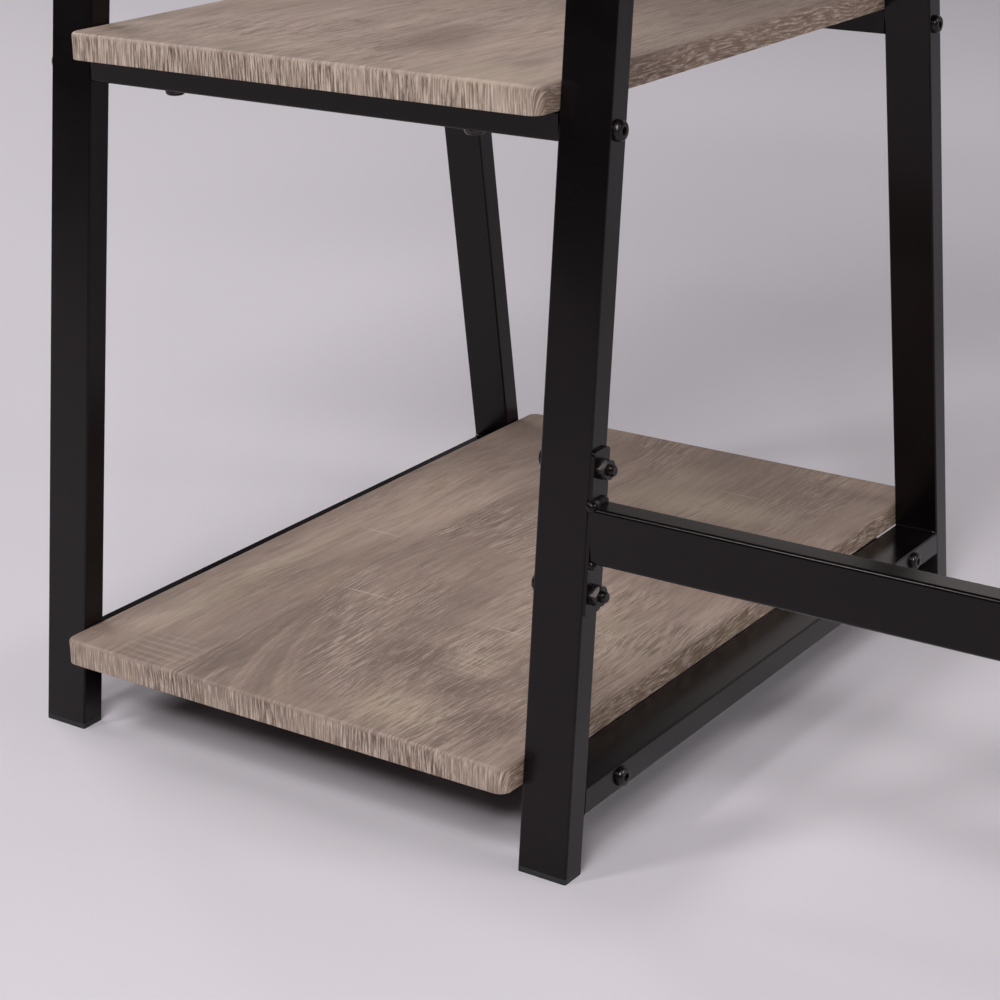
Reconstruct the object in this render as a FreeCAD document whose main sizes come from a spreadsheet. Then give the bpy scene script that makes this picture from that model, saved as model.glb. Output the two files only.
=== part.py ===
import FreeCAD, Part
import math
import os

import Sketcher

# Computer desk. Two slanted tube frames carry two shelves at one end, and the desktop spans from them to a
# third frame at the other end. +Z is up. +X runs along the desktop towards the shelves. The user sits on the
# -Y side, and the crossbar is on the +Y side. The origin is on the floor, under the middle of the desktop.

document = FreeCAD.newDocument("ComputerDesk")
sizes = document.addObject("Spreadsheet::Sheet", "Sizes")

# Driving sizes in millimetres, and leg_lean and nut_chamfer_angle in degrees
DRIVING_SIZES = [
    # Desktop
    ("desk_width", "1200"),
    ("desk_depth", "500"),
    ("desk_height", "735"),
    ("frame_inset", "15"),
    # Boards, of the desktop and of both shelves
    ("board_thickness", "15"),
    ("board_top_radius", "2"),
    ("board_bottom_radius", "0.5"),
    ("board_corner_radius", "7"),
    # Shelves
    ("shelf_bay", "310"),
    ("shelf_clearance", "0.2"),
    ("upper_shelf_height", "392"),
    # How far each shelf reaches past the legs' outer faces
    ("lower_shelf_overhang", "16.5"),
    ("upper_shelf_overhang", "18.8"),
    # Frames
    ("tube_wide", "30"),
    ("tube_thin", "15"),
    ("tube_wall", "1.2"),
    ("tube_corner", "1.2"),
    ("foot_inset", "19"),
    ("leg_lean", "6.9"),
    ("low_rail_height", "32"),
    # Foot caps
    ("cap_lip", "3"),
    ("cap_plug", "15"),
    ("cap_clearance", "0.1"),
    # Crossbar and its end plates
    ("crossbar_height", "171"),
    ("crossbar_corner", "2"),
    ("plate_height", "85"),
    ("plate_thickness", "2"),
    ("plate_inset", "0.5"),
    ("plate_corner", "2.5"),
    ("plate_bolt_inset", "10"),
    # Button-head bolts
    ("bolt_diameter", "6"),
    ("bolt_clearance", "0.25"),
    ("thread_clearance", "0.05"),
    ("head_diameter", "11"),
    ("head_height", "3.3"),
    ("head_round", "2.2"),
    ("socket_across", "4"),
    ("socket_depth", "2"),
    ("tip_chamfer", "0.8"),
    ("bolt_tip", "3"),
    # Hex nuts
    ("nut_across", "10"),
    ("nut_height", "5"),
    ("nut_chamfer", "0.8"),
    ("nut_chamfer_angle", "30"),
    # Threaded plugs in the tube ends, and threaded inserts in the boards
    ("plug_length", "12"),
    ("plug_clearance", "0.1"),
    ("insert_diameter", "10"),
    ("insert_length", "10"),
    ("insert_gap", "1"),
    # Places of the lower shelf's tubes and of the top rails' bolts, from the legs' inner faces
    ("lower_tube_inset", "34.5"),
    ("rail_bolt_inset", "30"),
    # Places of the bolts in the shelf and desktop tubes, from the tubes' ends
    ("shelf_bolt_inset", "55"),
    ("desk_bolt_inset", "150"),
    # How far a cut runs past the face that it leaves
    ("overrun", "5"),
]

for row, (alias, amount) in enumerate(DRIVING_SIZES, start=1):
    sizes.set(f"A{row}", alias)
    sizes.set(f"B{row}", amount)
    sizes.setAlias(f"B{row}", alias)
document.recompute()

BACK = 1
FRONT = -1
HEXAGON_SIDES = 6
# A hexagon starts at this angle in degrees, so that no corner lies on an axis
HEXAGON_START = 15
QUARTER_TURN = 90
HALF_TURN = 180
# Two directions count as parallel when the cosine of their angle is over this share of one
PARALLEL_SHARE = 0.999
# Two heights count as the same when they differ by under this share of the board's thickness
LEVEL_SHARE = 0.001

# Heights and depths that follow from the driving sizes
FRAME_TOP = "(Sizes.desk_height - Sizes.board_thickness)"
LOW_RAIL_TOP = "(Sizes.low_rail_height + Sizes.tube_thin)"
LOW_RAIL_MIDDLE = "(Sizes.low_rail_height + Sizes.tube_thin / 2)"
UPPER_TUBE_MIDDLE = "(Sizes.upper_shelf_height - Sizes.tube_thin / 2)"
TOP_RAIL_BOTTOM = f"({FRAME_TOP} - Sizes.tube_thin)"
TOP_RAIL_MIDDLE = f"({FRAME_TOP} - Sizes.tube_thin / 2)"
CROSSBAR_MIDDLE = "(Sizes.crossbar_height + Sizes.tube_wide / 2)"
LEG_DEPTH = "(Sizes.tube_thin / cos(Sizes.leg_lean))"
WALL_DEPTH = "(Sizes.tube_wall / cos(Sizes.leg_lean))"
CAP_GAP_DEPTH = "(Sizes.cap_clearance / cos(Sizes.leg_lean))"

# Places along the desktop
OUTER_X = "(Sizes.desk_width / 2 - Sizes.frame_inset - Sizes.tube_wide / 2)"
INNER_X = f"({OUTER_X} - Sizes.shelf_bay - Sizes.tube_wide)"
END_X = f"(0 - {OUTER_X})"
FRAME_X = {"outer": OUTER_X, "inner": INNER_X, "end": END_X}
SHELF_X = f"(({OUTER_X} + {INNER_X}) / 2)"
KNEE_X = f"(({INNER_X} + {END_X}) / 2)"
KNEE_WIDTH = f"({INNER_X} - {END_X} - Sizes.tube_wide)"

HOLE_DIAMETER = "(Sizes.bolt_diameter + 2 * Sizes.bolt_clearance)"
THREAD_DIAMETER = "(Sizes.bolt_diameter + 2 * Sizes.thread_clearance)"
FRAME_BOLT_LENGTH = "(Sizes.tube_wide + Sizes.plug_length + Sizes.bolt_tip)"
PLATE_BOLT_LENGTH = "(Sizes.tube_wide + Sizes.plate_thickness + Sizes.nut_height + Sizes.bolt_tip)"
BOARD_BOLT_LENGTH = "(Sizes.tube_thin + Sizes.insert_length)"
PLATE_BOTTOM = f"({CROSSBAR_MIDDLE} - Sizes.plate_height / 2)"
PLATE_TOP = f"({CROSSBAR_MIDDLE} + Sizes.plate_height / 2)"
PLATE_BOLT_HEIGHTS = [f"({PLATE_BOTTOM} + Sizes.plate_bolt_inset)", f"({PLATE_TOP} - Sizes.plate_bolt_inset)"]

HEAD_UP = FreeCAD.Rotation()
HEAD_DOWN = FreeCAD.Rotation(FreeCAD.Vector(1, 0, 0), HALF_TURN)
HEAD_TO_SHELVES = FreeCAD.Rotation(FreeCAD.Vector(0, 1, 0), QUARTER_TURN)
HEAD_TO_KNEES = FreeCAD.Rotation(FreeCAD.Vector(0, 1, 0), -QUARTER_TURN)
INTO_TUBE = {FRONT: FreeCAD.Rotation(), BACK: FreeCAD.Rotation(FreeCAD.Vector(0, 0, 1), HALF_TURN)}

sub_parts = []


def leg_outside(height):
    """Distance from the middle plane to the outer face of a leg at a height."""
    return f"(Sizes.desk_depth / 2 - Sizes.foot_inset - ({height}) * tan(Sizes.leg_lean))"


def leg_inside(height):
    """Distance from the middle plane to the inner face of a leg at a height."""
    return f"({leg_outside(height)} - {LEG_DEPTH})"


def leg_middle(height):
    """Distance from the middle plane to the middle of a leg at a height."""
    return f"({leg_outside(height)} - {LEG_DEPTH} / 2)"


def value(expression):
    """Number that an expression gives with the sheet's sizes."""
    return float(sizes.evalExpression(expression))


def new_body(label):
    """Empty body that becomes a sub-part or the pattern for a group of fasteners."""
    body = document.addObject("PartDesign::Body", label)
    body.Label = label
    return body


def place(thing, x, y, z):
    """Bind the place of a body or a copy to three expressions."""
    for axis, expression in zip("xyz", (x, y, z)):
        thing.setExpression(f"Placement.Base.{axis}", expression)


def new_sketch(body, role):
    """Sketch on one of the body's own origin planes."""
    sketch = body.newObject("Sketcher::SketchObject", "Sketch")
    plane = next(feature for feature in body.Origin.OriginFeatures if feature.Role == role)
    sketch.AttachmentSupport = (plane, [""])
    sketch.MapMode = "FlatFace"
    return sketch


def bind(sketch, kind, *arguments):
    """Add a constraint of a kind. Its last argument is the expression that it follows."""
    *geometry, expression = arguments
    index = sketch.addConstraint(Sketcher.Constraint(kind, *geometry, value(expression)))
    sketch.setExpression(f"Constraints[{index}]", expression)


def draw_outline(sketch, corners):
    """Closed outline of straight lines through corners, each a pair of expressions."""
    first = sketch.GeometryCount
    points = [FreeCAD.Vector(value(across), value(up), 0) for across, up in corners]
    for number, point in enumerate(points):
        sketch.addGeometry(Part.LineSegment(point, points[(number + 1) % len(points)]), False)
    for number, (across, up) in enumerate(corners):
        line = first + number
        following = first + (number + 1) % len(corners)
        sketch.addConstraint(Sketcher.Constraint("Coincident", line, 2, following, 1))
        bind(sketch, "DistanceX", -1, 1, line, 1, across)
        bind(sketch, "DistanceY", -1, 1, line, 1, up)


def draw_rectangle(sketch, width, height):
    """Rectangle round the sketch's origin."""
    right = f"({width}) / 2"
    top = f"({height}) / 2"
    left = f"-({width}) / 2"
    bottom = f"-({height}) / 2"
    draw_outline(sketch, [(left, bottom), (right, bottom), (right, top), (left, top)])


def draw_hexagon(sketch, across_flats):
    """Hexagon round the sketch's origin, by its size across flats."""
    step = 2 * HALF_TURN / HEXAGON_SIDES
    radius = f"({across_flats} / 2 / cos({step / 2}))"
    angles = [HEXAGON_START + number * step for number in range(HEXAGON_SIDES)]
    draw_outline(sketch, [(f"{radius} * cos({angle})", f"{radius} * sin({angle})") for angle in angles])


def draw_circle(sketch, across, up, diameter):
    """Circle by its centre and diameter."""
    centre = FreeCAD.Vector(value(across), value(up), 0)
    circle = sketch.addGeometry(Part.Circle(centre, FreeCAD.Vector(0, 0, 1), value(diameter) / 2), False)
    bind(sketch, "DistanceX", -1, 1, circle, 3, across)
    bind(sketch, "DistanceY", -1, 1, circle, 3, up)
    bind(sketch, "Diameter", circle, diameter)


def extrude(body, kind, sketch, length, side="One side", backwards=False):
    """Pad or pocket of a stated length."""
    feature = body.newObject(f"PartDesign::{kind}", kind)
    feature.Profile = sketch
    feature.SideType = side
    feature.Reversed = backwards
    feature.setExpression("Length", length)
    document.recompute()
    return feature


def cut_through(body, sketch):
    """Pocket right through the body, both ways from the sketch."""
    pocket = body.newObject("PartDesign::Pocket", "Pocket")
    pocket.Profile = sketch
    pocket.Type = "ThroughAll"
    pocket.SideType = "Symmetric"
    document.recompute()
    return pocket


def straight_edges(feature, direction):
    """Names of the feature's straight edges that run along a direction."""
    names = []
    for number, edge in enumerate(feature.Shape.Edges, start=1):
        if edge.Curve.TypeId != "Part::GeomLine":
            continue
        along = edge.tangentAt(edge.FirstParameter)
        if abs(along.dot(direction)) > PARALLEL_SHARE:
            names.append(f"Edge{number}")
    return names


def level_edges(feature, height):
    """Names of the feature's edges that lie level at a height."""
    tolerance = value("Sizes.board_thickness") * LEVEL_SHARE
    names = []
    for number, edge in enumerate(feature.Shape.Edges, start=1):
        box = edge.BoundBox
        if abs(box.ZMin - height) < tolerance and abs(box.ZMax - height) < tolerance:
            names.append(f"Edge{number}")
    return names


def round_edges(body, feature, names, radius):
    """Fillet of the named edges."""
    fillet = body.newObject("PartDesign::Fillet", "Fillet")
    fillet.Base = (feature, names)
    fillet.setExpression("Radius", radius)
    document.recompute()
    return fillet


def slant(side):
    """Direction of a leg on one side of the middle plane."""
    direction = FreeCAD.Vector(0, -side * math.tan(math.radians(value("Sizes.leg_lean"))), 1)
    return direction.normalize()


def leg_outline(side, bottom, top, inset="0"):
    """Side view of a leg between two heights, drawn in from both faces by an inset."""
    corners = []
    for height, edge in ((bottom, leg_outside), (top, leg_outside), (top, leg_inside), (bottom, leg_inside)):
        inward = "-" if edge is leg_outside else "+"
        corners.append((f"{side} * ({edge(height)} {inward} {inset})", height))
    return corners


def make_leg(label, frame_x, side, hole_heights):
    """Slanted leg: a tube cut level at both ends, with bolt holes across it."""
    body = new_body(label)
    outline = new_sketch(body, "YZ_Plane")
    draw_outline(outline, leg_outline(side, "Sizes.cap_lip", FRAME_TOP))
    tube = extrude(body, "Pad", outline, "Sizes.tube_wide", "Symmetric")
    round_edges(body, tube, straight_edges(tube, slant(side)), "Sizes.tube_corner")
    bore = new_sketch(body, "YZ_Plane")
    bore_bottom = "(Sizes.cap_lip - Sizes.overrun)"
    bore_top = f"({FRAME_TOP} + Sizes.overrun)"
    draw_outline(bore, leg_outline(side, bore_bottom, bore_top, WALL_DEPTH))
    extrude(body, "Pocket", bore, "Sizes.tube_wide - 2 * Sizes.tube_wall", "Symmetric")
    holes = new_sketch(body, "YZ_Plane")
    for height in hole_heights:
        draw_circle(holes, f"{side} * {leg_middle(height)}", height, HOLE_DIAMETER)
    cut_through(body, holes)
    place(body, frame_x, "0", "0")
    sub_parts.append(body)


def make_foot_cap(label, frame_x, side):
    """Foot cap: a lip under the end of the leg, and a plug inside it."""
    body = new_body(label)
    lip_outline = new_sketch(body, "YZ_Plane")
    draw_outline(lip_outline, leg_outline(side, "0", "Sizes.cap_lip"))
    lip = extrude(body, "Pad", lip_outline, "Sizes.tube_wide", "Symmetric")
    round_edges(body, lip, straight_edges(lip, slant(side)), "Sizes.tube_corner")
    plug_outline = new_sketch(body, "YZ_Plane")
    plug_top = "(Sizes.cap_lip + Sizes.cap_plug)"
    draw_outline(plug_outline, leg_outline(side, "0", plug_top, f"({WALL_DEPTH} + {CAP_GAP_DEPTH})"))
    plug_width = "Sizes.tube_wide - 2 * Sizes.tube_wall - 2 * Sizes.cap_clearance"
    extrude(body, "Pad", plug_outline, plug_width, "Symmetric")
    place(body, frame_x, "0", "0")
    sub_parts.append(body)


def rail_outline(bottom, top, past="0"):
    """Front-to-back rail between the legs' inner faces, with its ends run past them by a length."""
    corners = []
    for side, height in ((FRONT, bottom), (BACK, bottom), (BACK, top), (FRONT, top)):
        corners.append((f"{side} * ({leg_inside(height)} + {past})", height))
    return corners


def make_rail(label, frame_x, bottom, bolt_plane, bolt_places):
    """Rail of a frame, front to back between its legs, with bolt holes in one of its two directions."""
    body = new_body(label)
    top = f"({bottom} + Sizes.tube_thin)"
    outline = new_sketch(body, "YZ_Plane")
    draw_outline(outline, rail_outline(bottom, top))
    tube = extrude(body, "Pad", outline, "Sizes.tube_wide", "Symmetric")
    round_edges(body, tube, straight_edges(tube, FreeCAD.Vector(0, 1, 0)), "Sizes.tube_corner")
    bore = new_sketch(body, "YZ_Plane")
    bore_bottom = f"({bottom} + Sizes.tube_wall)"
    bore_top = f"({top} - Sizes.tube_wall)"
    draw_outline(bore, rail_outline(bore_bottom, bore_top, "Sizes.overrun"))
    extrude(body, "Pocket", bore, "Sizes.tube_wide - 2 * Sizes.tube_wall", "Symmetric")
    if bolt_places:
        holes = new_sketch(body, bolt_plane)
        for across, up in bolt_places:
            draw_circle(holes, across, up, HOLE_DIAMETER)
        cut_through(body, holes)
    place(body, frame_x, "0", "0")
    sub_parts.append(body)


def make_tube(label, length, tall, deep, corner, centre, bolt_offsets):
    """Straight tube along the desk, with bolt holes up through it at offsets from its middle."""
    body = new_body(label)
    outline = new_sketch(body, "YZ_Plane")
    draw_rectangle(outline, deep, tall)
    tube = extrude(body, "Pad", outline, length, "Symmetric")
    round_edges(body, tube, straight_edges(tube, FreeCAD.Vector(1, 0, 0)), corner)
    bore = new_sketch(body, "YZ_Plane")
    draw_rectangle(bore, f"{deep} - 2 * Sizes.tube_wall", f"{tall} - 2 * Sizes.tube_wall")
    cut_through(body, bore)
    if bolt_offsets:
        holes = new_sketch(body, "XY_Plane")
        for offset in bolt_offsets:
            draw_circle(holes, offset, "0", HOLE_DIAMETER)
        cut_through(body, holes)
    place(body, *centre)
    sub_parts.append(body)


def make_plate(label, centre_x):
    """End plate of the crossbar, which follows the slant of the leg that it is bolted to."""
    body = new_body(label)
    outline = new_sketch(body, "YZ_Plane")
    draw_outline(outline, leg_outline(BACK, PLATE_BOTTOM, PLATE_TOP, "Sizes.plate_inset"))
    plate = extrude(body, "Pad", outline, "Sizes.plate_thickness", "Symmetric")
    round_edges(body, plate, straight_edges(plate, FreeCAD.Vector(1, 0, 0)), "Sizes.plate_corner")
    holes = new_sketch(body, "YZ_Plane")
    for height in PLATE_BOLT_HEIGHTS:
        draw_circle(holes, leg_middle(height), height, HOLE_DIAMETER)
    cut_through(body, holes)
    place(body, centre_x, "0", "0")
    sub_parts.append(body)


def make_board(label, width, depth, centre_x, underside, insert_places):
    """Board with rounded corners, a rounded top edge, a nearly sharp lower edge and insert holes below."""
    body = new_body(label)
    outline = new_sketch(body, "XY_Plane")
    draw_rectangle(outline, width, depth)
    slab = extrude(body, "Pad", outline, "Sizes.board_thickness")
    upright = straight_edges(slab, FreeCAD.Vector(0, 0, 1))
    slab = round_edges(body, slab, upright, "Sizes.board_corner_radius")
    slab = round_edges(body, slab, level_edges(slab, value("Sizes.board_thickness")), "Sizes.board_top_radius")
    round_edges(body, slab, level_edges(slab, 0), "Sizes.board_bottom_radius")
    holes = new_sketch(body, "XY_Plane")
    for x, y in insert_places:
        draw_circle(holes, f"{x} - {centre_x}", y, "Sizes.insert_diameter + 2 * Sizes.thread_clearance")
    extrude(body, "Pocket", holes, "Sizes.insert_length + Sizes.insert_gap", backwards=True)
    place(body, centre_x, "0", underside)
    sub_parts.append(body)


def bolt_pattern(label, length):
    """Button-head bolt with a hex socket: its head stands up from the origin and its shank hangs down."""
    body = new_body(label)
    head_outline = new_sketch(body, "XY_Plane")
    draw_circle(head_outline, "0", "0", "Sizes.head_diameter")
    head = extrude(body, "Pad", head_outline, "Sizes.head_height")
    rim = level_edges(head, value("Sizes.head_height"))
    round_edges(body, head, rim, "Sizes.head_round")
    shank_outline = new_sketch(body, "XY_Plane")
    draw_circle(shank_outline, "0", "0", "Sizes.bolt_diameter")
    shank = extrude(body, "Pad", shank_outline, length, backwards=True)
    tip = body.newObject("PartDesign::Chamfer", "Chamfer")
    tip.Base = (shank, level_edges(shank, -value(length)))
    tip.setExpression("Size", "Sizes.tip_chamfer")
    document.recompute()
    socket = new_sketch(body, "XY_Plane")
    socket.setExpression("AttachmentOffset.Base.z", "Sizes.head_height")
    draw_hexagon(socket, "Sizes.socket_across")
    extrude(body, "Pocket", socket, "Sizes.socket_depth")
    return body


def nut_pattern():
    """Hex nut that stands on the origin, with the corners of its upper face turned off."""
    body = new_body("nut_pattern")
    outline = new_sketch(body, "XY_Plane")
    draw_hexagon(outline, "Sizes.nut_across")
    extrude(body, "Pad", outline, "Sizes.nut_height")
    bore = new_sketch(body, "XY_Plane")
    draw_circle(bore, "0", "0", THREAD_DIAMETER)
    cut_through(body, bore)
    cone = new_sketch(body, "XZ_Plane")
    flat_radius = "(Sizes.nut_across / 2)"
    wide_radius = "(Sizes.nut_across / 2 + Sizes.nut_chamfer + Sizes.overrun)"
    slope_drop = "((Sizes.nut_chamfer + Sizes.overrun) * tan(Sizes.nut_chamfer_angle))"
    corners = [
        (flat_radius, "Sizes.nut_height"),
        (wide_radius, f"(Sizes.nut_height - {slope_drop})"),
        (wide_radius, "Sizes.nut_height + Sizes.overrun"),
        (flat_radius, "Sizes.nut_height + Sizes.overrun"),
    ]
    draw_outline(cone, corners)
    groove = body.newObject("PartDesign::Groove", "Groove")
    groove.Profile = cone
    groove.ReferenceAxis = (cone, ["V_Axis"])
    document.recompute()
    return body


def plug_pattern():
    """Square threaded plug that fills the end of a tube, from the origin along +X."""
    body = new_body("plug_pattern")
    outline = new_sketch(body, "YZ_Plane")
    side = "Sizes.tube_thin - 2 * Sizes.tube_wall - 2 * Sizes.plug_clearance"
    draw_rectangle(outline, side, side)
    extrude(body, "Pad", outline, "Sizes.plug_length")
    bore = new_sketch(body, "YZ_Plane")
    draw_circle(bore, "0", "0", THREAD_DIAMETER)
    cut_through(body, bore)
    return body


def insert_pattern():
    """Round threaded insert that stands up into a board from the origin."""
    body = new_body("insert_pattern")
    outline = new_sketch(body, "XY_Plane")
    draw_circle(outline, "0", "0", "Sizes.insert_diameter")
    extrude(body, "Pad", outline, "Sizes.insert_length")
    bore = new_sketch(body, "XY_Plane")
    draw_circle(bore, "0", "0", THREAD_DIAMETER)
    cut_through(body, bore)
    return body


def make_group(label, pattern, places):
    """Identical small pieces as one sub-part. Each place is x, y and z expressions and a rotation."""
    copies = []
    for x, y, z, rotation in places:
        copy = document.addObject("App::Link", f"{label}_copy")
        copy.LinkedObject = pattern
        copy.Placement.Rotation = rotation
        place(copy, x, y, z)
        copies.append(copy)
    group = document.addObject("Part::Compound", label)
    group.Label = label
    group.Links = copies
    document.recompute()
    sub_parts.append(group)


# Frames: each has two legs, a top rail under the desktop and a lower rail near the floor
leg_holes = {
    ("outer", FRONT): [UPPER_TUBE_MIDDLE],
    ("outer", BACK): [UPPER_TUBE_MIDDLE],
    ("inner", FRONT): [UPPER_TUBE_MIDDLE, TOP_RAIL_MIDDLE],
    ("inner", BACK): [UPPER_TUBE_MIDDLE, TOP_RAIL_MIDDLE, *PLATE_BOLT_HEIGHTS],
    ("end", FRONT): [TOP_RAIL_MIDDLE],
    ("end", BACK): [TOP_RAIL_MIDDLE, *PLATE_BOLT_HEIGHTS],
}
side_names = {FRONT: "front", BACK: "rear"}
lower_tube_y = f"({leg_inside(LOW_RAIL_MIDDLE)} - Sizes.lower_tube_inset)"
rail_bolt_y = f"({leg_inside(TOP_RAIL_MIDDLE)} - Sizes.rail_bolt_inset)"
low_bolt_places = [(f"{side} * {lower_tube_y}", LOW_RAIL_MIDDLE) for side in side_names]
top_bolt_places = [("0", f"{side} * {rail_bolt_y}") for side in side_names]

for frame_name, frame_x in FRAME_X.items():
    for side, side_name in side_names.items():
        make_leg(f"{frame_name}_frame_{side_name}_leg", frame_x, side, leg_holes[frame_name, side])
        make_foot_cap(f"{frame_name}_frame_{side_name}_foot_cap", frame_x, side)
    carries_shelf = frame_name != "end"
    shelf_bolt_places = low_bolt_places if carries_shelf else []
    make_rail(f"{frame_name}_frame_lower_rail", frame_x, "Sizes.low_rail_height", "YZ_Plane", shelf_bolt_places)
    make_rail(f"{frame_name}_frame_top_rail", frame_x, TOP_RAIL_BOTTOM, "XY_Plane", top_bolt_places)

# Tubes along the desk: two under each shelf, two under the desktop across the knee space, and the crossbar
shelf_bolt_offset = "(Sizes.shelf_bay / 2 - Sizes.shelf_bolt_inset)"
desk_bolt_offset = f"({KNEE_WIDTH} / 2 - Sizes.desk_bolt_inset)"
upper_tube_y = leg_middle(UPPER_TUBE_MIDDLE)
desk_tube_y = leg_middle(TOP_RAIL_MIDDLE)
tube_rows = {
    "lower_shelf": (lower_tube_y, LOW_RAIL_MIDDLE, SHELF_X, "Sizes.shelf_bay", shelf_bolt_offset),
    "upper_shelf": (upper_tube_y, UPPER_TUBE_MIDDLE, SHELF_X, "Sizes.shelf_bay", shelf_bolt_offset),
    "desktop": (desk_tube_y, TOP_RAIL_MIDDLE, KNEE_X, KNEE_WIDTH, desk_bolt_offset),
}
for row_name, (y, z, x, length, offset) in tube_rows.items():
    for side, side_name in side_names.items():
        label = f"{row_name}_{side_name}_tube"
        centre = (x, f"{side} * {y}", z)
        offsets = [f"-{offset}", offset]
        make_tube(label, length, "Sizes.tube_thin", "Sizes.tube_thin", "Sizes.tube_corner", centre, offsets)

crossbar_y = leg_middle(CROSSBAR_MIDDLE)
crossbar_length = f"({KNEE_WIDTH} - 2 * Sizes.plate_thickness)"
crossbar_centre = (KNEE_X, crossbar_y, CROSSBAR_MIDDLE)
crossbar_section = ("Sizes.tube_wide", "Sizes.tube_thin", "Sizes.crossbar_corner")
make_tube("crossbar", crossbar_length, *crossbar_section, crossbar_centre, [])
make_plate("crossbar_inner_plate", f"({INNER_X} - Sizes.tube_wide / 2 - Sizes.plate_thickness / 2)")
make_plate("crossbar_end_plate", f"({END_X} + Sizes.tube_wide / 2 + Sizes.plate_thickness / 2)")

# Boards, each with the places of its bolts as seen from above
bolt_columns = {}
for row_name, (y, z, x, length, offset) in tube_rows.items():
    columns = [(f"({x} {sign} {offset})", f"{side} * {y}") for sign in "-+" for side in side_names]
    bolt_columns[row_name] = columns
rail_columns = [(x, f"{side} * {rail_bolt_y}") for x in FRAME_X.values() for side in side_names]
bolt_columns["desktop"] = rail_columns + bolt_columns["desktop"]
shelf_width = "(Sizes.shelf_bay - 2 * Sizes.shelf_clearance)"
lower_board_middle = f"({LOW_RAIL_TOP} + Sizes.board_thickness / 2)"
upper_board_middle = "(Sizes.upper_shelf_height + Sizes.board_thickness / 2)"
lower_shelf_depth = f"2 * ({leg_outside(lower_board_middle)} + Sizes.lower_shelf_overhang)"
upper_shelf_depth = f"2 * ({leg_outside(upper_board_middle)} + Sizes.upper_shelf_overhang)"
boards = {
    "lower_shelf": (shelf_width, lower_shelf_depth, SHELF_X, LOW_RAIL_TOP),
    "upper_shelf": (shelf_width, upper_shelf_depth, SHELF_X, "Sizes.upper_shelf_height"),
    "desktop": ("Sizes.desk_width", "Sizes.desk_depth", "0", FRAME_TOP),
}
board_bolt = bolt_pattern("board_bolt_pattern", BOARD_BOLT_LENGTH)
insert = insert_pattern()
for board_name, (width, depth, x, underside) in boards.items():
    columns = bolt_columns[board_name]
    make_board(board_name, width, depth, x, underside, columns)
    heads = [(*column, f"{underside} - Sizes.tube_thin", HEAD_DOWN) for column in columns]
    make_group(f"{board_name}_bolts", board_bolt, heads)
    make_group(f"{board_name}_inserts", insert, [(*column, underside, HEAD_UP) for column in columns])

# Bolts through the frames into the plugged ends of the tubes, with a head on the far face of each frame
frame_bolt = bolt_pattern("frame_bolt_pattern", FRAME_BOLT_LENGTH)
plug = plug_pattern()
tube_ends = {
    "shelf_tube": ("lower_shelf", "upper_shelf"),
    "desktop_tube": ("desktop",),
}
for group_name, row_names in tube_ends.items():
    bolt_places = []
    plug_places = []
    for row_name in row_names:
        y, z, x, length, offset = tube_rows[row_name]
        for side in side_names:
            for way, rotation in ((FRONT, HEAD_TO_KNEES), (BACK, HEAD_TO_SHELVES)):
                head_x = f"{x} + {way} * ({length} / 2 + Sizes.tube_wide)"
                bolt_places.append((head_x, f"{side} * {y}", z, rotation))
                plug_x = f"{x} + {way} * {length} / 2"
                plug_places.append((plug_x, f"{side} * {y}", z, INTO_TUBE[way]))
    make_group(f"{group_name}_bolts", frame_bolt, bolt_places)
    make_group(f"{group_name}_plugs", plug, plug_places)

# Bolts and nuts of the crossbar's end plates
plate_bolt = bolt_pattern("plate_bolt_pattern", PLATE_BOLT_LENGTH)
nut = nut_pattern()
plate_bolt_places = []
nut_places = []
for height in PLATE_BOLT_HEIGHTS:
    y = leg_middle(height)
    plate_bolt_places.append((f"{INNER_X} + Sizes.tube_wide / 2", y, height, HEAD_TO_SHELVES))
    plate_bolt_places.append((f"{END_X} - Sizes.tube_wide / 2", y, height, HEAD_TO_KNEES))
    nut_reach = "(Sizes.tube_wide / 2 + Sizes.plate_thickness)"
    nut_places.append((f"{INNER_X} - {nut_reach}", y, height, HEAD_TO_KNEES))
    nut_places.append((f"{END_X} + {nut_reach}", y, height, HEAD_TO_SHELVES))
make_group("crossbar_bolts", plate_bolt, plate_bolt_places)
make_group("crossbar_nuts", nut, nut_places)

document.recompute()
for item in document.Objects:
    if "Invalid" in item.State or "Error" in item.State:
        raise RuntimeError(f"{item.Label} is in state {item.State}")
for sub_part in sub_parts:
    if sub_part.Shape.isNull() or not sub_part.Shape.isValid():
        raise RuntimeError(f"{sub_part.Label} has no valid shape")

os.makedirs("parts", exist_ok=True)
for sub_part in sub_parts:
    sub_part.Shape.exportStep(f"parts/{sub_part.Label}.step")
    box = sub_part.Shape.BoundBox
    corners = [round(edge, 2) for edge in (box.XMin, box.YMin, box.ZMin, box.XMax, box.YMax, box.ZMax)]
    print(sub_part.Label, len(sub_part.Shape.Solids), "solids", round(sub_part.Shape.Volume, 1), "mm3", corners)
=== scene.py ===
import math

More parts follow.
